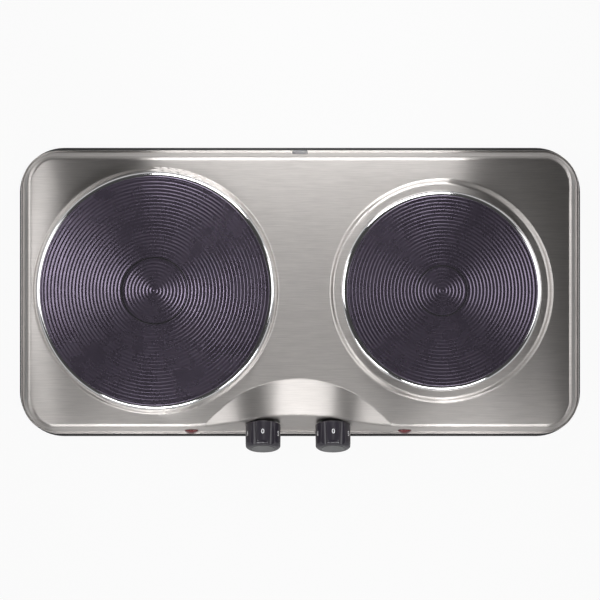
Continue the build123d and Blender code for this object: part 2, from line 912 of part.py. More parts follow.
def thermostat_screws():
    """Small screws through the panel into the thermostats, under the knobs."""
    head_radius, head_height = thermostat_screw_head
    pieces = []
    for side in sides.values():
        for screw in (-1, 1):
            offset = side * knob_spacing / 2 + screw * thermostat_screw_spacing / 2
            bow = panel_recess(side * knob_spacing / 2, knob_height) - panel_recess(offset, knob_height)
            rise = bow + panel_swell(offset, head_radius, knob_height) + thermostat_seat
            shank_length = thermostat_front(side) + thermostat_plate_gauge + rise
            head = Cylinder(head_radius, head_height, align=standing)
            shank = Cylinder(thermostat_screw_radius, shank_length, align=hanging)
            spot = knob_frame(side) * Pos(screw * thermostat_screw_spacing / 2, 0, rise)
            pieces.append(spot * (head + shank))
    return Part() + pieces


def lamp_lens(side):
    """Red lens: a stem through the wall, a flange and a domed front."""
    stem = Cylinder(lens_radius, lens_stem, align=hanging)
    dome_radius = (lens_flange_radius**2 + lens_dome**2) / (2 * lens_dome)
    dome_centre = lens_flange + lens_dome - dome_radius
    halfway = lens_flange_radius / 2
    section = make_face(
        Curve()
        + [
            Line((0, 0, 0), (lens_flange_radius, 0, 0)),
            Line((lens_flange_radius, 0, 0), (lens_flange_radius, 0, lens_flange)),
            ThreePointArc(
                (lens_flange_radius, 0, lens_flange),
                (halfway, 0, dome_centre + math.sqrt(dome_radius**2 - halfway**2)),
                (0, 0, lens_flange + lens_dome),
            ),
            Line((0, 0, lens_flange + lens_dome), (0, 0, 0)),
        ]
    )
    seat = panel_swell(lamp_spacing / 2, lens_flange_radius, lamp_height) + lamp_seat
    return lamp_frame(side) * Pos(0, 0, seat) * (stem + revolve(section, Axis.Z))


def lamp_holder(side):
    """Cup pushed over the lens stem from inside, with the neon lamp's two pins."""
    front = -steel_gauge - panel_sink(lamp_spacing / 2, holder_radius, lamp_height) - lamp_seat
    back = front - holder_length
    cup = Pos(0, 0, back) * Cylinder(holder_radius, holder_length, align=standing)
    cup -= Pos(0, 0, front) * Cylinder(lens_radius + holder_fit, 2 * (lens_stem - steel_gauge))
    cup = fillet(cup.edges().group_by(Axis.Z)[0], holder_fillet)
    pin = Pos(0, 0, back) * Cylinder(lamp_pin_radius, lamp_pin_length, align=hanging)
    for k in (-1, 1):
        cup += Pos(k * lamp_pin_spacing / 2, 0, 0) * pin
    return lamp_frame(side) * cup


def cord_gland():
    """Rubber bush in the back wall for the supply cord."""
    inner_face = -steel_gauge - gland_fit
    inner_end = inner_face - gland_inner_flange
    bush = revolved(
        [
            (gland_bore_radius, gland_outer_flange),
            (gland_flange_radius, gland_outer_flange),
            (gland_flange_radius, gland_fit),
            (gland_neck_radius, gland_fit),
            (gland_neck_radius, inner_face),
            (gland_flange_radius, inner_face),
            (gland_flange_radius, inner_end),
            (gland_bore_radius, inner_end),
        ]
    )
    rounds = bush.edges().filter_by(GeomType.CIRCLE)
    rims = rounds.filter_by(lambda edge: edge.radius > gland_neck_radius + gland_fit)
    levels = rims.group_by(Axis.Z)
    return gland_frame() * fillet(levels[0] + levels[-1], gland_edge_fillet)


def pole_spots():
    middle = (block_poles - 1) / 2
    return [(k - middle) * pole_pitch for k in range(block_poles)]


def terminal_block():
    """Ceramic block with a cross bore and a screw well for each pole."""
    block = Box(*block_size, align=standing)
    block = fillet(block.edges().filter_by(Axis.Z) + block.edges().group_by(Axis.Z)[-1], block_fillet)
    height = block_size[2] / 2
    for x in pole_spots():
        block -= Pos(x, 0, height) * Rot(90, 0, 0) * Cylinder(pole_radius + pole_fit, 2 * block_size[1])
        well = Cylinder(pole_screw_head[0] + pole_fit, block_size[2] / 2, align=standing)
        block -= Pos(x, 0, height) * well
    for side in (-1, 1):
        block -= Pos(side * pole_pitch / 2, 0, 0) * Cylinder(screw_radius + thread_fit, 2 * screw_reach)
    return block_place() * block


def terminal_inserts():
    """Brass tubes in the cross bores of the block."""
    tube = Cylinder(pole_radius, block_size[1]) - Cylinder(pole_bore_radius, 2 * block_size[1])
    tube = Rot(90, 0, 0) * tube
    tube -= Cylinder(pole_screw_radius + thread_fit, 2 * pole_radius, align=standing)
    return block_place() * (Part() + [Pos(x, 0, block_size[2] / 2) * tube for x in pole_spots()])


def terminal_screws():
    """Clamp screws of the poles, and the two screws that hold the block on the tray."""
    head_radius, head_height = pole_screw_head
    head = Cylinder(head_radius, head_height, align=standing)
    shank = Cylinder(pole_screw_radius, pole_radius, align=hanging)
    seat = block_size[2] / 2 + pole_radius
    pieces = [Pos(x, 0, seat + tab_fit) * (head + shank) for x in pole_spots()]
    fixing = Pos(0, 0, -tray_top) * pan_screw(foot_height, tray_gauge + screw_reach - thread_fit)
    pieces += [Pos(side * pole_pitch / 2, 0, 0) * fixing for side in (-1, 1)]
    return block_place() * (Part() + pieces)


def all_pieces():
    """Every piece by name, drawn about the middle of the body."""
    pieces = {
        "top_shell": top_shell(),
        "base_tray": base_tray(),
        "shell_tabs": shell_tabs(),
        "tray_screws": tray_screws(),
        "foot_screws": foot_screws(),
        "clamp_washers": clamp_washers(),
        "clamp_nuts": clamp_nuts(),
        "thermostat_screws": thermostat_screws(),
        "cord_gland": cord_gland(),
        "terminal_block": terminal_block(),
        "terminal_inserts": terminal_inserts(),
        "terminal_screws": terminal_screws(),
    }
    for place, spot in foot_spots().items():
        pieces[f"foot_{place}"] = foot(spot)
    for burner in burners:
        pieces[f"{burner.name}_plate"] = plate(burner)
        pieces[f"{burner.name}_trim_ring"] = trim_ring(burner)
        pieces[f"{burner.name}_element"] = element(burner)
        pieces[f"{burner.name}_terminals"] = terminals(burner)
        pieces[f"{burner.name}_beads"] = beads(burner)
        pieces[f"{burner.name}_heat_shield"] = heat_shield(burner)
        pieces[f"{burner.name}_clamp_bar"] = clamp_bar(burner)
        pieces[f"{burner.name}_stud"] = stud(burner)
    for name, side in sides.items():
        pieces[f"{name}_knob"] = knob(side)
        pieces[f"{name}_knob_cap"] = knob_cap(side)
        pieces[f"{name}_spindle"] = spindle(side)
        pieces[f"{name}_thermostat"] = thermostat(side)
        pieces[f"{name}_thermostat_tabs"] = thermostat_tabs(side)
        pieces[f"{name}_lamp_lens"] = lamp_lens(side)
        pieces[f"{name}_lamp_holder"] = lamp_holder(side)
    return pieces


def footprint_shift(pieces):
    """Move that puts the middle of the whole footprint, knobs included, on the origin."""
    boxes = [piece.bounding_box() for piece in pieces.values()]
    low_y = min(box.min.Y for box in boxes)
    high_y = max(box.max.Y for box in boxes)
    return Pos(0, -(low_y + high_y) / 2, 0)


def main():
    os.makedirs("parts", exist_ok=True)
    pieces = all_pieces()
    shift = footprint_shift(pieces)
    for name, piece in pieces.items():
        export_step(shift * piece, f"parts/{name}.step")


if __name__ == "__main__":
    main()
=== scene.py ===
"""Looks of a double electric hot plate: its finishes, its turned and printed pieces, and the studio around it."""

import json
import math
from collections import namedtuple

import bpy
from mathutils import Matrix, Vector


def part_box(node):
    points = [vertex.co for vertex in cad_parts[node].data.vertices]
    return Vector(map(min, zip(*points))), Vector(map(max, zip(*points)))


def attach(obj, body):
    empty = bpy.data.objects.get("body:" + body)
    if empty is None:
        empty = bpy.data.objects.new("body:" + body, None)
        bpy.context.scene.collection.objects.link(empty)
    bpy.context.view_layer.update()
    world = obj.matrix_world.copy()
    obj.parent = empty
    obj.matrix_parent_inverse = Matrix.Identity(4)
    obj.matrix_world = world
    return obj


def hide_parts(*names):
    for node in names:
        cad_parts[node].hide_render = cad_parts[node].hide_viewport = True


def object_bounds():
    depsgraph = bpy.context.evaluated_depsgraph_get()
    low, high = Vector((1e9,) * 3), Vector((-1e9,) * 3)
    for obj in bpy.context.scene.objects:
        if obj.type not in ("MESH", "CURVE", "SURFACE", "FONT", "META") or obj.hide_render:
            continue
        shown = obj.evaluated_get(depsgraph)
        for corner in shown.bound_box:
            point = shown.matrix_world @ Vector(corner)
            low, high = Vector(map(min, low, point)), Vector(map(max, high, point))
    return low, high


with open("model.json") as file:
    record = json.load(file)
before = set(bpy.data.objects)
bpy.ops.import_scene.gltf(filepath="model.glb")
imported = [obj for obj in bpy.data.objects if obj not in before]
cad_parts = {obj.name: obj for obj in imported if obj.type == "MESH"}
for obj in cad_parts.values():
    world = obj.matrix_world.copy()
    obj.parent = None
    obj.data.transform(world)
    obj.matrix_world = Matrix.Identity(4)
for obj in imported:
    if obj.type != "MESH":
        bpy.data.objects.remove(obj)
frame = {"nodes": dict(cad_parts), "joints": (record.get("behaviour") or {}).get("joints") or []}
cad_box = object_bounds()

bl_info = {
    "name": "Double hot plate",
    "version": (1, 0, 0),
    "blender": (4, 5, 0),
    "location": "View3D > Sidebar > Hot plate",
    "description": "Dresses the packed hot plate and sets up its studio",
    "category": "Object",
}

MM = 0.001
BURNERS = ("large", "small")
SIDES = ("left", "right")
HOUSING = "housing"
MERGE_DISTANCE = 0.002 * MM
SHEET_CREASE = math.radians(32)
TURNED_CREASE = math.radians(40)

# Cooking plates, as cast under their turned faces
PLATE_RIM = 9.0 * MM
PLATE_EDGE = 1.2 * MM
CHANNEL_DEPTH = 8.0 * MM
BOSS_RADIUS = 20.0 * MM
STUD_HOLE = (3.05 * MM, 7.0 * MM)
MARK_RADIUS = {"large": 26.5 * MM, "small": 20.0 * MM}
MARK_WIDTH = 0.9 * MM
MARK_DEPTH = 0.5 * MM
POINTS_PER_RIDGE = 6
EDGE_STEPS = 5
LATHE_STEPS = 192

# Bright rings, as pressed
RING_FIT = 0.15 * MM
RING_GAUGE = 0.8 * MM
RING_CROWN = 2.2 * MM
RING_STEPS = 12

# Dial print: one mark on each land between the flutes
DIAL_MARKS = "012345"
DIAL_PITCH = math.radians(60)
DIAL_OUTER = 20.0 * MM
MARK_PLACE = 11.5 * MM
PRINT_GAUGE = 0.1 * MM
PRINT_PROUD = 0.04 * MM
PRINT_SWELL = 1 / 60
PRINT_CUTS = (-1.0 * MM, -0.5 * MM, 0.5 * MM, 1.0 * MM)

# Shared effects
MIX_VALUES = (0, 2, 3)
MIX_COLOURS = (0, 6, 7)
MIXED_COLOUR = 2
BLACK = (0.0, 0.0, 0.0, 1.0)
WHITE = (1.0, 1.0, 1.0, 1.0)
PATCH_NOISE = {"Detail": 5.0, "Roughness": 0.62}
PATCH_RANGE = {"From Min": 0.32, "From Max": 0.68}
RELIEF_NOISE = {"Detail": 3.0, "Roughness": 0.55}
LINE_NOISE = {"Scale": 1.0, "Detail": 2.0, "Roughness": 0.6}
STREAK_NOISE = {"Scale": 1.0, "Detail": 4.0, "Roughness": 0.6}
STREAK_SHARE = 0.12
LONG_WALL = 0.6

# Brushed steel
STEEL_GRAIN = {"Fineness": 1500.0, "Stretch": 60.0}
STEEL_PATCHES = {"Tint": 0.04, "Scale": 9.0, "Roughness": 0.295, "Spread": 0.02}
LINE_SHADES = {"From Min": 0.25, "From Max": 0.75, "To Min": 0.9, "To Max": 1.08}
STREAK_SHADES = {"From Min": 0.3, "From Max": 0.7, "To Min": 0.98, "To Max": 1.02}
LINE_ROUGHNESS = 0.04
LINE_DEPTH = 0.004 * MM
ACROSS_LINES = 0.25

# Cast iron, where the turned face goes over into the edge: the edge and underside are painted dark, dull and not
# metallic as shade in the gap round the plate
FACE_RANGE = {"From Min": 0.8, "From Max": 0.93}
PAINTED_EDGE_SHADE = (0.012, 0.011, 0.013, 1.0)
EDGE_ROUGHNESS = 0.6

# Studio
FLOOR_SIZE = 12.0
FLOOR_GAP = 0.2 * MM
FLOOR_COLOUR = (0.42, 0.42, 0.42, 1.0)
FLOOR_ROUGHNESS = 0.9
BACKDROP_RISE = {"From Min": 0.15, "From Max": 0.6}
SENSOR_WIDTH = 36.0
PHOTO_WIDTH = 600
NADIR_ROW = 292

Finish = namedtuple("Finish", "colour metallic roughness spread tint patches relief depth coat")
Softbox = namedtuple("Softbox", "name place width length level")

SOFTBOXES = (
    Softbox("Left softbox", (-0.62, 0.06, 0.70), 0.35, 0.40, 1.85),
    Softbox("Left end softbox", (-0.27, 0.04, 0.40), 0.12, 0.035, 5.0),
    Softbox("Right softbox", (0.60, 0.02, 0.72), 0.38, 0.36, 2.0),
    Softbox("Left strip", (-0.62, 0.12, 0.33), 0.40, 0.42, 1.2),
    Softbox("Right strip", (0.62, 0.12, 0.33), 0.40, 0.42, 1.2),
    Softbox("Back strip", (0.008, 0.28, 0.24), 0.30, 0.13, 7.0),
    Softbox("Back softbox", (0.04, 0.55, 0.77), 0.30, 0.25, 0.5),
    Softbox("Front softbox", (-0.025, -0.85, 0.75), 0.27, 0.20, 8.5),
    Softbox("Front left strip", (-0.175, -0.26, 0.20), 0.17, 0.08, 3.8),
    Softbox("Front right strip", (0.18, -0.26, 0.20), 0.15, 0.08, 4.1),
    Softbox("Front left softbox", (-0.16, -0.36, 0.36), 0.12, 0.10, 4.4),
    Softbox("Front right softbox", (0.16, -0.36, 0.36), 0.12, 0.10, 5.2),
)


class HotPlateFinishes(bpy.types.PropertyGroup):
    """Colours of the visible finishes."""

    steel: bpy.props.FloatVectorProperty(
        name="Steel",
        description="Colour of the brushed steel body",
        subtype="COLOR",
        min=0.0,
        max=1.0,
        default=(0.61, 0.58, 0.56),
    )
    iron: bpy.props.FloatVectorProperty(
        name="Iron",
        description="Colour of the coated cast iron plates",
        subtype="COLOR",
        min=0.0,
        max=1.0,
        default=(0.225, 0.19, 0.26),
    )
    bright_metal: bpy.props.FloatVectorProperty(
        name="Bright metal",
        description="Colour of the polished rings round the plates",
        subtype="COLOR",
        min=0.0,
        max=1.0,
        default=(0.86, 0.86, 0.87),
    )
    knob: bpy.props.FloatVectorProperty(
        name="Knob",
        description="Colour of the moulded knobs",
        subtype="COLOR",
        min=0.0,
        max=1.0,
        default=(0.022, 0.018, 0.028),
    )
    cap: bpy.props.FloatVectorProperty(
        name="Cap",
        description="Colour of the discs in the faces of the knobs",
        subtype="COLOR",
        min=0.0,
        max=1.0,
        default=(0.16, 0.16, 0.165),
    )
    lens: bpy.props.FloatVectorProperty(
        name="Lens",
        description="Colour of the lamp lenses",
        subtype="COLOR",
        min=0.0,
        max=1.0,
        default=(0.14, 0.008, 0.012),
    )
    tray: bpy.props.FloatVectorProperty(
        name="Tray",
        description="Colour of the painted base tray",
        subtype="COLOR",
        min=0.0,
        max=1.0,
        default=(0.012, 0.012, 0.013),
    )
    dial_print: bpy.props.FloatVectorProperty(
        name="Dial print",
        description="Colour of the numbers on the knobs",
        subtype="COLOR",
        min=0.0,
        max=1.0,
        default=(0.78, 0.78, 0.8),
    )


class HotPlateSizes(bpy.types.PropertyGroup):
    """Sizes of the detail that the frame doesn't hold."""

    ridge_pitch: bpy.props.FloatProperty(
        name="Ridge pitch",
        description="Distance from one turned ridge of a plate to the next",
        unit="LENGTH",
        default=2.8 * MM,
    )
    ridge_depth: bpy.props.FloatProperty(
        name="Ridge depth",
        description="Depth of the hollows between the turned ridges",
        unit="LENGTH",
        default=0.3 * MM,
    )
    numeral_height: bpy.props.FloatProperty(
        name="Numeral height",
        description="Height of the numbers on the knobs",
        unit="LENGTH",
        default=5.5 * MM,
    )


class HotPlateStage(bpy.types.PropertyGroup):
    """Camera and light levels of the studio."""

    camera_rise: bpy.props.FloatProperty(
        name="Camera rise",
        description="Height of the camera above the plates",
        unit="LENGTH",
        default=1.4,
    )
    pixels_per_mm: bpy.props.FloatProperty(
        name="Pixels per millimetre",
        description="Scale of the picture at the plates",
        default=1.247,
    )
    backdrop: bpy.props.FloatProperty(
        name="Backdrop",
        description="Brightness of the studio all round, as it lights the object",
        default=0.7,
    )
    ceiling: bpy.props.FloatProperty(
        name="Ceiling",
        description="Brightness of the studio overhead, as it lights the object",
        default=0.06,
    )
    floor_glow: bpy.props.FloatProperty(
        name="Floor glow",
        description="Share of plain white in the floor as the camera sees it",
        subtype="FACTOR",
        default=0.94,
    )
    mirror_glow: bpy.props.FloatProperty(
        name="Mirrored floor glow",
        description="Share of plain white in the floor as metal and glass show it",
        subtype="FACTOR",
        default=0.1,
    )


def select_only(piece):
    """Makes a piece the only selected and the active object."""
    bpy.ops.object.select_all(action="DESELECT")
    piece.select_set(True)
    bpy.context.view_layer.objects.active = piece


def edit_all(piece):
    """Opens a piece in edit mode with all of it selected."""
    select_only(piece)
    bpy.ops.object.mode_set(mode="EDIT")
    bpy.ops.mesh.select_all(action="SELECT")


def apply_modifier(piece, kind, **settings):
    """Adds a modifier to a piece and applies it."""
    select_only(piece)
    modifier = piece.modifiers.new(kind.title(), kind)
    for setting, value in settings.items():
        setattr(modifier, setting, value)
    bpy.ops.object.modifier_apply(modifier=modifier.name)


def smooth(piece, angle):
    """Shades a piece smooth up to an angle between faces, with normals that follow the larger faces."""
    select_only(piece)
    bpy.ops.object.shade_smooth_by_angle(angle=angle)
    apply_modifier(piece, "WEIGHTED_NORMAL", keep_sharp=True)


def install(piece, material, body, nodes):
    """Gives a finished piece its material and its body, and hides the nodes that it stands for."""
    piece.data.materials.clear()
    piece.data.materials.append(material)
    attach(piece, body)
    if nodes:
        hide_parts(*nodes)


def joined_copy(node, name):
    """New piece with a node's shape, its loose triangles joined and shaded smooth."""
    piece = bpy.data.objects.new(name, frame["nodes"][node].data.copy())
    bpy.context.scene.collection.objects.link(piece)
    edit_all(piece)
    bpy.ops.mesh.customdata_custom_splitnormals_clear()
    bpy.ops.mesh.remove_doubles(threshold=MERGE_DISTANCE)
    bpy.ops.object.mode_set(mode="OBJECT")
    smooth(piece, SHEET_CREASE)
    return piece


def dressed_copy(node, name, material, body=HOUSING):
    """Joined copy of a node that takes the node's place."""
    piece = joined_copy(node, name)
    install(piece, material, body, [node])
    return piece


def turned(name, outline, middle):
    """Piece turned about an upright axis from an outline of (radius, height) points."""
    bpy.ops.object.select_all(action="DESELECT")
    start = Vector((outline[0][0], 0, outline[0][1]))
    bpy.ops.mesh.primitive_plane_add(size=MM, location=start)
    piece = bpy.context.object
    piece.name = name
    edit_all(piece)
    bpy.ops.mesh.merge(type="CENTER")
    for (radius, height), (next_radius, next_height) in zip(outline, outline[1:]):
        step = (next_radius - radius, 0, next_height - height)
        bpy.ops.mesh.extrude_vertices_move(TRANSFORM_OT_translate={"value": step})
    bpy.ops.mesh.select_all(action="SELECT")
    bpy.ops.mesh.spin(steps=LATHE_STEPS, angle=math.tau, center=(0, 0, 0), axis=(0, 0, 1))
    bpy.ops.mesh.select_all(action="SELECT")
    bpy.ops.mesh.remove_doubles(threshold=MERGE_DISTANCE)
    bpy.ops.mesh.normals_make_consistent(inside=False)
    bpy.ops.transform.translate(value=(middle.x, middle.y, 0))
    bpy.ops.object.mode_set(mode="OBJECT")
    bpy.ops.object.transform_apply(location=True, rotation=True, scale=True)
    return piece


def add_node(tree, kind, inputs=None, **settings):
    """Adds a node with its settings, and sets or links its inputs."""
    made = tree.nodes.new(kind)
    for setting, value in settings.items():
        setattr(made, setting, value)
    for socket, value in (inputs or {}).items():
        if isinstance(value, bpy.types.NodeSocket):
            tree.links.new(value, made.inputs[socket])
        else:
            made.inputs[socket].default_value = value
    return made


def math_node(tree, operation, *values):
    """Result of a Math node on values or sockets."""
    return add_node(tree, "ShaderNodeMath", dict(enumerate(values)), operation=operation).outputs[0]


def blend_colours(tree, factor, first, second, mode="MIX"):
    """Result of a Mix node on two colours."""
    mix = add_node(tree, "ShaderNodeMix", data_type="RGBA", blend_type=mode)
    for index, value in zip(MIX_COLOURS, (factor, first, second)):
        if isinstance(value, bpy.types.NodeSocket):
            tree.links.new(value, mix.inputs[index])
        else:
            mix.inputs[index].default_value = value
    return mix.outputs[MIXED_COLOUR]


def blend_values(tree, factor, first, second):
    """Result of a Mix node on two numbers."""
    sockets = dict(zip(MIX_VALUES, (factor, first, second)))
    return add_node(tree, "ShaderNodeMix", sockets, data_type="FLOAT").outputs[0]


def map_range(tree, value, ranges, kind="LINEAR"):
    """Result of a Map Range node on a value."""
    return add_node(
        tree, "ShaderNodeMapRange", {"Value": value, **ranges}, interpolation_type=kind
    ).outputs[0]


def shader_group(name, inputs, outputs):
    """New shader node group, with its inside ends."""
    group = bpy.data.node_groups.new(name, "ShaderNodeTree")
    for socket, value in inputs.items():
        kind = "NodeSocketColor" if isinstance(value, tuple) else "NodeSocketFloat"
        group.interface.new_socket(name=socket, in_out="INPUT", socket_type=kind).default_value = value
    for socket, kind in outputs.items():
        group.interface.new_socket(name=socket, in_out="OUTPUT", socket_type=kind)
    return group, add_node(group, "NodeGroupInput"), add_node(group, "NodeGroupOutput")


def mottle_group():
    """Patches that darken a colour a little and change its roughness."""
    inputs = {"Color": (0.5, 0.5, 0.5, 1.0), "Tint": 0.1, "Scale": 40.0, "Roughness": 0.4, "Spread": 0.1}
    outputs = {"Color": "NodeSocketColor", "Roughness": "NodeSocketFloat"}
    group, start, end = shader_group("Mottled finish", inputs, outputs)
    place = add_node(group, "ShaderNodeTexCoord").outputs["Object"]
    noise = add_node(
        group,
        "ShaderNodeTexNoise",
        {"Vector": place, "Scale": start.outputs["Scale"], **PATCH_NOISE},
    )
    patch = map_range(group, noise.outputs[0], PATCH_RANGE, "SMOOTHSTEP")
    shade = math_node(group, "MULTIPLY", patch, start.outputs["Tint"])
    colour = blend_colours(group, shade, start.outputs["Color"], BLACK)
    swing = math_node(group, "MULTIPLY", math_node(group, "SUBTRACT", patch, 0.5), start.outputs["Spread"])
    rough = math_node(group, "ADD", start.outputs["Roughness"], swing)
    group.links.new(colour, end.inputs["Color"])
    group.links.new(rough, end.inputs["Roughness"])
    return group


def relief_group():
    """Fine grain of a cast, moulded or painted skin."""
    group, start, end = shader_group("Fine relief", {"Scale": 900.0}, {"Height": "NodeSocketFloat"})
    place = add_node(group, "ShaderNodeTexCoord").outputs["Object"]
    noise = add_node(
        group,
        "ShaderNodeTexNoise",
        {"Vector": place, "Scale": start.outputs["Scale"], **RELIEF_NOISE},
    )
    group.links.new(noise.outputs[0], end.inputs["Height"])
    return group


def grain_group():
    """Brushed lines along X, which turn down the end walls and run along the front and back walls."""
    outputs = {"Grain": "NodeSocketFloat", "Streaks": "NodeSocketFloat"}
    group, start, end = shader_group("Brushed grain", STEEL_GRAIN, outputs)
    place = add_node(
        group, "ShaderNodeSeparateXYZ", {0: add_node(group, "ShaderNodeTexCoord").outputs["Object"]}
    )
    normal = add_node(
        group, "ShaderNodeSeparateXYZ", {0: add_node(group, "ShaderNodeTexCoord").outputs["Normal"]}
    )
    upright = math_node(group, "GREATER_THAN", math_node(group, "ABSOLUTE", normal.outputs["Y"]), LONG_WALL)
    across = blend_values(group, upright, place.outputs["Y"], place.outputs["Z"])
    drop = blend_values(group, upright, place.outputs["Z"], 0.0)
    along = math_node(group, "MULTIPLY", place.outputs["X"], start.outputs["Stretch"])
    down = math_node(group, "MULTIPLY", drop, start.outputs["Stretch"])
    lines = math_node(group, "MULTIPLY", across, start.outputs["Fineness"])
    streaks = math_node(group, "MULTIPLY", lines, STREAK_SHARE)
    for output, spacing, look in (("Grain", lines, LINE_NOISE), ("Streaks", streaks, STREAK_NOISE)):
        vector = add_node(group, "ShaderNodeCombineXYZ", {0: along, 1: spacing, 2: down}).outputs[0]
        noise = add_node(group, "ShaderNodeTexNoise", {"Vector": vector, **look})
        group.links.new(noise.outputs[0], end.inputs[output])
    return group


def effect(tree, name, values):
    """Places a shared effect in a material with its own values."""
    made = tree.nodes.new("ShaderNodeGroup")
    made.node_tree = bpy.data.node_groups[name]
    for socket, value in values.items():
        made.inputs[socket].default_value = value
    return made


def start_material(name):
    """New material, with its node tree and shader."""
    material = bpy.data.materials.new(name)
    material.use_nodes = True
    return material, material.node_tree, material.node_tree.nodes["Principled BSDF"]


def add_bump(tree, shader, height, depth):
    """Small relief on a shader's normal."""
    bump = add_node(tree, "ShaderNodeBump", {"Strength": 1.0, "Distance": depth, "Height": height})
    tree.links.new(bump.outputs[0], shader.inputs["Normal"])


def mottled_material(name, finish):
    """Material of a plain finish with its patches and fine relief."""
    material, tree, shader = start_material(name)
    mottle = effect(
        tree,
        "Mottled finish",
        {
            "Color": (*finish.colour, 1.0),
            "Tint": finish.tint,
            "Scale": finish.patches,
            "Roughness": finish.roughness,
            "Spread": finish.spread,
        },
    )
    tree.links.new(mottle.outputs["Color"], shader.inputs["Base Color"])
    tree.links.new(mottle.outputs["Roughness"], shader.inputs["Roughness"])
    shader.inputs["Metallic"].default_value = finish.metallic
    shader.inputs["Coat Weight"].default_value = finish.coat
    relief = effect(tree, "Fine relief", {"Scale": finish.relief})
    add_bump(tree, shader, relief.outputs["Height"], finish.depth)
    return material


def cast_iron(finish):
    """Coated iron: turned and sheeny on the cooking face, with painted shade on its edge and underside, which are
    dark, dull and not metallic.
    """
    material = mottled_material("Finish cast_iron", finish)
    tree = material.node_tree
    shader = tree.nodes["Principled BSDF"]
    normal = add_node(tree, "ShaderNodeTexCoord").outputs["Normal"]
    rise = add_node(tree, "ShaderNodeSeparateXYZ", {0: normal}).outputs["Z"]
    face = map_range(tree, rise, FACE_RANGE, "SMOOTHSTEP")
    face_colour, face_rough = (shader.inputs[socket].links[0].from_socket for socket in ("Base Color", "Roughness"))
    # Painted shade: the edge and underside, picked out by their slope, take a dark colour in place of the shade in
    # the gap round the plate
    colour = blend_colours(tree, face, PAINTED_EDGE_SHADE, face_colour)
    rough = blend_values(tree, face, EDGE_ROUGHNESS, face_rough)
    tree.links.new(colour, shader.inputs["Base Color"])
    tree.links.new(rough, shader.inputs["Roughness"])
    tree.links.new(face, shader.inputs["Metallic"])
    return material


def brushed_steel(colour):
    """Brushed sheet steel: fine lines along X, faint broad streaks and slightly duller patches."""
    material, tree, shader = start_material("Brushed steel")
    grain = effect(tree, "Brushed grain", STEEL_GRAIN)
    mottle = effect(tree, "Mottled finish", {"Color": (*colour, 1.0), **STEEL_PATCHES})
    lines = map_range(tree, grain.outputs["Grain"], LINE_SHADES)
    streaks = map_range(tree, grain.outputs["Streaks"], STREAK_SHADES)
    shade = math_node(tree, "MULTIPLY", lines, streaks)
    shade_colour = add_node(tree, "ShaderNodeCombineColor", {0: shade, 1: shade, 2: shade}).outputs[0]
    base = blend_colours(tree, 1.0, mottle.outputs["Color"], shade_colour, "MULTIPLY")
    tree.links.new(base, shader.inputs["Base Color"])
    swing = math_node(tree, "MULTIPLY", grain.outputs["Grain"], LINE_ROUGHNESS)
    smoothest = math_node(tree, "SUBTRACT", mottle.outputs["Roughness"], LINE_ROUGHNESS / 2)
    tree.links.new(math_node(tree, "ADD", swing, smoothest), shader.inputs["Roughness"])
    shader.inputs["Metallic"].default_value = 1.0
    shader.inputs["Anisotropic"].default_value = 1.0
    shader.inputs["Anisotropic Rotation"].default_value = ACROSS_LINES
    along = add_node(tree, "ShaderNodeCombineXYZ", {0: 1.0}).outputs[0]
    tree.links.new(along, shader.inputs["Tangent"])
    add_bump(tree, shader, grain.outputs["Grain"], LINE_DEPTH)
    return material


def finishes():
    """Plain finishes by the record's material slots."""
    colours = bpy.context.scene.hot_plate_finishes
    return {
        "cast_iron": Finish(colours.iron, 1.0, 0.275, 0.05, 0.15, 60.0, 1400.0, 0.006 * MM, 0.0),
        "bright_trim": Finish(colours.bright_metal, 1.0, 0.09, 0.05, 0.06, 30.0, 700.0, 0.001 * MM, 0.0),
        "knob_black": Finish(colours.knob, 0.0, 0.32, 0.06, 0.2, 70.0, 1800.0, 0.004 * MM, 0.6),
        "cap_grey": Finish(colours.cap, 0.3, 0.34, 0.08, 0.15, 70.0, 2200.0, 0.004 * MM, 0.2),
        "lens_red": Finish(colours.lens, 0.0, 0.12, 0.04, 0.15, 150.0, 600.0, 0.002 * MM, 1.0),
        "tray_paint": Finish(colours.tray, 0.0, 0.42, 0.12, 0.2, 25.0, 1600.0, 0.01 * MM, 0.0),
        "gland_rubber": Finish((0.34, 0.34, 0.35), 0.0, 0.6, 0.12, 0.3, 120.0, 1500.0, 0.02 * MM, 0.0),
        "foot_rubber": Finish((0.02, 0.02, 0.021), 0.0, 0.68, 0.12, 0.3, 120.0, 1500.0, 0.02 * MM, 0.0),
        "zinc_steel": Finish((0.62, 0.63, 0.64), 1.0, 0.34, 0.14, 0.2, 160.0, 1800.0, 0.004 * MM, 0.0),
        "shield_sheet": Finish((0.68, 0.68, 0.69), 1.0, 0.4, 0.16, 0.2, 35.0, 900.0, 0.004 * MM, 0.0),
        "element_cement": Finish((0.42, 0.40, 0.36), 0.0, 0.9, 0.1, 0.3, 90.0, 700.0, 0.1 * MM, 0.0),
        "ceramic": Finish((0.72, 0.69, 0.62), 0.0, 0.45, 0.1, 0.12, 90.0, 900.0, 0.02 * MM, 0.0),
        "thermostat_case": Finish((0.08, 0.045, 0.03), 0.0, 0.5, 0.12, 0.25, 90.0, 1200.0, 0.02 * MM, 0.0),
        "lamp_holder": Finish((0.5, 0.48, 0.44), 0.0, 0.5, 0.1, 0.15, 90.0, 1200.0, 0.01 * MM, 0.0),
        "insert_brass": Finish((0.6, 0.45, 0.2), 1.0, 0.35, 0.12, 0.2, 160.0, 1500.0, 0.004 * MM, 0.0),
        "dial_print": Finish(colours.dial_print, 0.0, 0.45, 0.1, 0.1, 300.0, 1500.0, 0.004 * MM, 0.0),
    }


def material_for(slot):
    """Material of a slot, made the first time that it is asked for."""
    name = "Finish " + slot
    if name in bpy.data.materials:
        return bpy.data.materials[name]
    finish = finishes()[slot]
    return cast_iron(finish) if slot == "cast_iron" else mottled_material(name, finish)


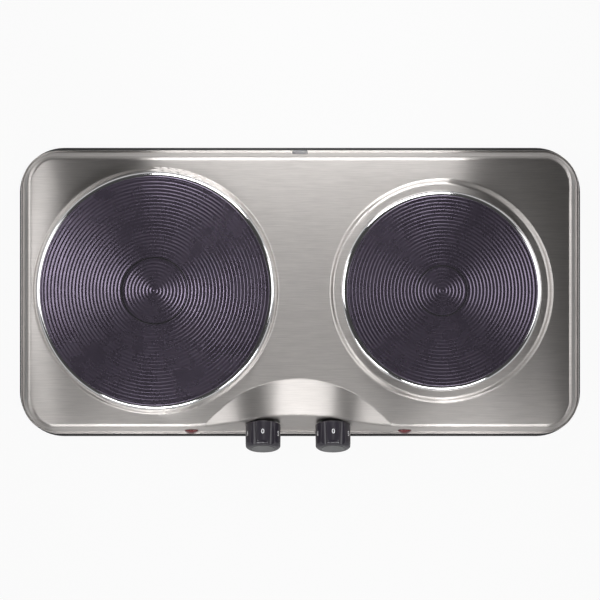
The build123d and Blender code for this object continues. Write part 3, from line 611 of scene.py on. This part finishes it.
def plate_outline(burner, sizes):
    """Half section of a plate: its turned face, round edge, rim, heater channel and boss with a stud hole."""
    low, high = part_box(burner + "_plate")
    radius = (high.x - low.x) / 2
    mark = MARK_RADIUS[burner]
    face_end = radius - PLATE_EDGE
    spacing = sizes.ridge_pitch / POINTS_PER_RIDGE
    outline = []
    for index in range(int(face_end / spacing)):
        reach = index * spacing
        sink = sizes.ridge_depth / 2 * (1 - math.cos(math.tau * reach / sizes.ridge_pitch))
        if abs(reach - mark) > MARK_WIDTH / 2:
            outline.append((reach, high.z - sink))
    outline += [(mark - MARK_WIDTH / 2, high.z), (mark, high.z - MARK_DEPTH), (mark + MARK_WIDTH / 2, high.z)]
    outline.sort()
    for index in range(EDGE_STEPS + 1):
        turn = math.pi / 2 * index / EDGE_STEPS
        outline.append((face_end + PLATE_EDGE * math.sin(turn), high.z - PLATE_EDGE * (1 - math.cos(turn))))
    hole_radius, hole_depth = STUD_HOLE
    outline += [
        (radius, low.z),
        (radius - PLATE_RIM, low.z),
        (radius - PLATE_RIM, low.z + CHANNEL_DEPTH),
        (BOSS_RADIUS, low.z + CHANNEL_DEPTH),
        (BOSS_RADIUS, low.z),
        (hole_radius, low.z),
        (hole_radius, low.z + hole_depth),
        (0.0, low.z + hole_depth),
    ]
    return outline


def ring_outline(burner):
    """Closed half section of a bright ring: a skirt inside and a crowned flange that sits on the collar."""
    low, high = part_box(burner + "_trim_ring")
    plate_low, plate_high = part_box(burner + "_plate")
    inner = (plate_high.x - plate_low.x) / 2 + RING_FIT
    width = (high.x - low.x) / 2 - inner
    radius = (width**2 + RING_CROWN**2) / (2 * RING_CROWN)
    under = radius - RING_GAUGE
    turn = math.asin(width / radius)
    skirt_turn = math.asin(RING_GAUGE / under)
    centre = high.z - radius

    def arc(bend, start, finish):
        steps = range(RING_STEPS + 1)
        angles = [start + (finish - start) * index / RING_STEPS for index in steps]
        return [(inner + bend * math.sin(angle), centre + bend * math.cos(angle)) for angle in angles]

    outline = arc(radius, 0, turn) + arc(under, turn, skirt_turn)
    outline += [(inner + RING_GAUGE, low.z), (inner, low.z)]
    return outline + outline[:1]


def dial_place(side, index):
    """Where a mark sits before it is wrapped onto its dial: above its land, reading from the front."""
    joint = next(j for j in frame["joints"] if j["child"] == side + "_dial")
    inward = Vector(joint["axis"])
    across = Vector((1, 0, 0))
    upward = across.cross(inward)
    pivot = Vector(joint["pos_m"])
    spot = pivot - MARK_PLACE * inward + DIAL_OUTER * upward
    place = Matrix.Translation(spot) @ Matrix((across, inward, upward)).transposed().to_4x4()
    turn = Matrix.Rotation(-DIAL_PITCH * index, 4, inward)
    return Matrix.Translation(pivot) @ turn @ Matrix.Translation(-pivot) @ place


def dial_mark(side, index, knob, height):
    """One printed number, wrapped onto a land of its knob."""
    bpy.ops.object.select_all(action="DESELECT")
    bpy.ops.object.text_add()
    mark = bpy.context.object
    mark.name = f"{side}_dial_mark_{DIAL_MARKS[index]}"
    mark.data.body = DIAL_MARKS[index]
    mark.data.size = height
    mark.data.offset = height * PRINT_SWELL
    mark.data.align_x = "CENTER"
    mark.data.align_y = "CENTER"
    bpy.ops.object.convert(target="MESH")
    mark = bpy.context.object
    edit_all(mark)
    bpy.ops.mesh.remove_doubles(threshold=MERGE_DISTANCE)
    for cut in PRINT_CUTS:
        bpy.ops.mesh.select_all(action="SELECT")
        bpy.ops.mesh.bisect(plane_co=(cut, 0, 0), plane_no=(1, 0, 0))
    bpy.ops.object.mode_set(mode="OBJECT")
    mark.matrix_world = dial_place(side, index)
    apply_modifier(
        mark,
        "SHRINKWRAP",
        target=knob,
        wrap_method="PROJECT",
        use_project_z=True,
        use_negative_direction=True,
        use_positive_direction=False,
        offset=PRINT_PROUD,
    )
    apply_modifier(mark, "SOLIDIFY", thickness=PRINT_GAUGE, offset=-1.0)
    bpy.ops.object.transform_apply(location=True, rotation=True, scale=True)
    return mark


def add_softbox(box, spot):
    """Area lamp that the camera doesn't see, aimed at a spot, whose face has a plain brightness."""
    lamp = bpy.data.lights.new(box.name, "AREA")
    lamp.shape = "RECTANGLE"
    lamp.size = box.width
    lamp.size_y = box.length
    lamp.energy = box.level * math.pi * box.width * box.length
    holder = bpy.data.objects.new(box.name, lamp)
    bpy.context.scene.collection.objects.link(holder)
    holder.location = box.place
    aim = spot - Vector(box.place)
    holder.rotation_euler = aim.to_track_quat("-Z", "Y").to_euler()
    holder.visible_camera = False


def studio_world(backdrop, ceiling):
    """World with a pale backdrop all round and a dim ceiling, which the camera sees as plain white."""
    world = bpy.data.worlds.new("Studio")
    bpy.context.scene.world = world
    world.use_nodes = True
    tree = world.node_tree
    direction = add_node(tree, "ShaderNodeTexCoord").outputs["Generated"]
    rise = add_node(tree, "ShaderNodeSeparateXYZ", {0: direction}).outputs["Z"]
    levels = {**BACKDROP_RISE, "To Min": backdrop, "To Max": ceiling}
    level = map_range(tree, rise, levels, "SMOOTHSTEP")
    seen = add_node(tree, "ShaderNodeLightPath").outputs["Is Camera Ray"]
    background = tree.nodes["Background"]
    background.inputs["Color"].default_value = WHITE
    tree.links.new(blend_values(tree, seen, level, 1.0), background.inputs["Strength"])


def floor_material(glow, mirror_glow):
    """Pale floor that is near white to the camera, glows a little in metal and still takes the shadow."""
    material, tree, shader = start_material("Pale floor")
    shader.inputs["Base Color"].default_value = FLOOR_COLOUR
    shader.inputs["Roughness"].default_value = FLOOR_ROUGHNESS
    shader.inputs["Specular IOR Level"].default_value = 0.0
    path = add_node(tree, "ShaderNodeLightPath")
    mirrored = math_node(tree, "MAXIMUM", path.outputs["Is Glossy Ray"], path.outputs["Is Transmission Ray"])
    dimmed = math_node(tree, "MULTIPLY", mirrored, mirror_glow)
    share = math_node(tree, "MAXIMUM", math_node(tree, "MULTIPLY", path.outputs["Is Camera Ray"], glow), dimmed)
    white = add_node(tree, "ShaderNodeEmission", {"Strength": 1.0}).outputs[0]
    mix = add_node(tree, "ShaderNodeMixShader", {0: share, 1: shader.outputs[0], 2: white}).outputs[0]
    tree.links.new(mix, tree.nodes["Material Output"].inputs["Surface"])
    return material


class HOTPLATE_OT_effects(bpy.types.Operator):
    """Build the shared shader effects"""

    bl_idname = "hotplate.effects"
    bl_label = "Shared effects"

    def execute(self, context):
        mottle_group()
        relief_group()
        grain_group()
        return {"FINISHED"}


class HOTPLATE_OT_body(bpy.types.Operator):
    """Dress the drawn body in brushed steel"""

    bl_idname = "hotplate.body"
    bl_label = "Steel body"

    def execute(self, context):
        dressed_copy("top_shell", "steel_body", brushed_steel(context.scene.hot_plate_finishes.steel))
        return {"FINISHED"}


class HOTPLATE_OT_plates(bpy.types.Operator):
    """Turn the two cooking plates with their fine ridges and ring marks"""

    bl_idname = "hotplate.plates"
    bl_label = "Cooking plates"

    def execute(self, context):
        for burner in BURNERS:
            node = burner + "_plate"
            low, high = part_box(node)
            outline = plate_outline(burner, context.scene.hot_plate_sizes)
            piece = turned(burner + "_turned_plate", outline, (low + high) / 2)
            smooth(piece, TURNED_CREASE)
            install(piece, material_for("cast_iron"), HOUSING, [node])
        return {"FINISHED"}


class HOTPLATE_OT_rings(bpy.types.Operator):
    """Turn the bright rings round the plates"""

    bl_idname = "hotplate.rings"
    bl_label = "Bright rings"

    def execute(self, context):
        for burner in BURNERS:
            node = burner + "_trim_ring"
            low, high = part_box(node)
            piece = turned(burner + "_bright_ring", ring_outline(burner), (low + high) / 2)
            smooth(piece, TURNED_CREASE)
            install(piece, material_for("bright_trim"), HOUSING, [node])
        return {"FINISHED"}


class HOTPLATE_OT_dials(bpy.types.Operator):
    """Dress the knobs and their caps, and print the numbers on their lands"""

    bl_idname = "hotplate.dials"
    bl_label = "Dials"

    def execute(self, context):
        height = context.scene.hot_plate_sizes.numeral_height
        for side in SIDES:
            body = side + "_dial"
            knob = dressed_copy(side + "_knob", side + "_fluted_knob", material_for("knob_black"), body)
            dressed_copy(side + "_knob_cap", side + "_face_disc", material_for("cap_grey"), body)
            for index in range(len(DIAL_MARKS)):
                mark = dial_mark(side, index, knob, height)
                install(mark, material_for("dial_print"), body, [])
        return {"FINISHED"}


class HOTPLATE_OT_lamps(bpy.types.Operator):
    """Dress the red lenses of the two lamps"""

    bl_idname = "hotplate.lamps"
    bl_label = "Lamps"

    def execute(self, context):
        for side in SIDES:
            dressed_copy(side + "_lamp_lens", side + "_red_lens", material_for("lens_red"))
        return {"FINISHED"}


class HOTPLATE_OT_base(bpy.types.Operator):
    """Dress the base tray, the feet and the cord gland"""

    bl_idname = "hotplate.base"
    bl_label = "Base"

    def execute(self, context):
        dressed_copy("base_tray", "painted_tray", material_for("tray_paint"))
        dressed_copy("cord_gland", "rubber_gland", material_for("gland_rubber"))
        for end in ("front", "back"):
            for side in SIDES:
                place = f"{end}_{side}"
                dressed_copy("foot_" + place, "rubber_foot_" + place, material_for("foot_rubber"))
        return {"FINISHED"}


class HOTPLATE_OT_inner_parts(bpy.types.Operator):
    """Give every part that keeps its own shape its finish"""

    bl_idname = "hotplate.inner_parts"
    bl_label = "Inner parts"

    def execute(self, context):
        for part in frame["nodes"].values():
            if not part.hide_render:
                slot = part.material_slots[0]
                slot.material = material_for(slot.material.name)
        return {"FINISHED"}


class HOTPLATE_OT_stage(bpy.types.Operator):
    """Lay the floor, hang the lights and place the camera"""

    bl_idname = "hotplate.stage"
    bl_label = "Stage"

    def execute(self, context):
        scene = context.scene
        stage = scene.hot_plate_stage
        bpy.ops.object.select_all(action="DESELECT")
        bpy.ops.mesh.primitive_plane_add(size=FLOOR_SIZE, location=(0, 0, -FLOOR_GAP))
        floor = context.object
        floor.name = "Floor"
        floor.data.materials.append(floor_material(stage.floor_glow, stage.mirror_glow))
        studio_world(stage.backdrop, stage.ceiling)
        body_low, body_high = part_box("top_shell")
        top = Vector((0.0, (body_low.y + body_high.y) / 2, cad_box[1].z))
        for box in SOFTBOXES:
            add_softbox(box, top)
        camera = bpy.data.cameras.new("Camera")
        camera.sensor_width = SENSOR_WIDTH
        camera.lens = stage.pixels_per_mm / MM * stage.camera_rise * SENSOR_WIDTH / PHOTO_WIDTH
        camera.shift_y = (NADIR_ROW - PHOTO_WIDTH / 2) / PHOTO_WIDTH
        holder = bpy.data.objects.new("Camera", camera)
        scene.collection.objects.link(holder)
        holder.location = (top.x, top.y, top.z + stage.camera_rise)
        scene.camera = holder
        scene.view_settings.view_transform = "Standard"
        return {"FINISHED"}


class HOTPLATE_PT_sidebar(bpy.types.Panel):
    """Steps and values of the hot plate"""

    bl_label = "Double hot plate"
    bl_space_type = "VIEW_3D"
    bl_region_type = "UI"
    bl_category = "Hot plate"

    def draw(self, context):
        for step in STEPS:
            self.layout.operator(step.bl_idname)
        for name, group in SETTINGS.items():
            values = getattr(context.scene, name)
            for value in group.__annotations__:
                self.layout.prop(values, value)


STEPS = (
    HOTPLATE_OT_effects,
    HOTPLATE_OT_body,
    HOTPLATE_OT_plates,
    HOTPLATE_OT_rings,
    HOTPLATE_OT_dials,
    HOTPLATE_OT_lamps,
    HOTPLATE_OT_base,
    HOTPLATE_OT_inner_parts,
    HOTPLATE_OT_stage,
)
SETTINGS = {
    "hot_plate_finishes": HotPlateFinishes,
    "hot_plate_sizes": HotPlateSizes,
    "hot_plate_stage": HotPlateStage,
}


def register():
    for group in SETTINGS.values():
        bpy.utils.register_class(group)
    for name, group in SETTINGS.items():
        setattr(bpy.types.Scene, name, bpy.props.PointerProperty(type=group))
    for step in STEPS:
        bpy.utils.register_class(step)
    bpy.utils.register_class(HOTPLATE_PT_sidebar)


def unregister():
    bpy.utils.unregister_class(HOTPLATE_PT_sidebar)
    for step in reversed(STEPS):
        bpy.utils.unregister_class(step)
    for name in SETTINGS:
        delattr(bpy.types.Scene, name)
    for group in SETTINGS.values():
        bpy.utils.unregister_class(group)


def main():
    register()
    bpy.ops.hotplate.effects()
    bpy.ops.hotplate.body()
    bpy.ops.hotplate.plates()
    bpy.ops.hotplate.rings()
    bpy.ops.hotplate.dials()
    bpy.ops.hotplate.lamps()
    bpy.ops.hotplate.base()
    bpy.ops.hotplate.inner_parts()
    bpy.ops.hotplate.stage()


if __name__ == "__main__":
    main()
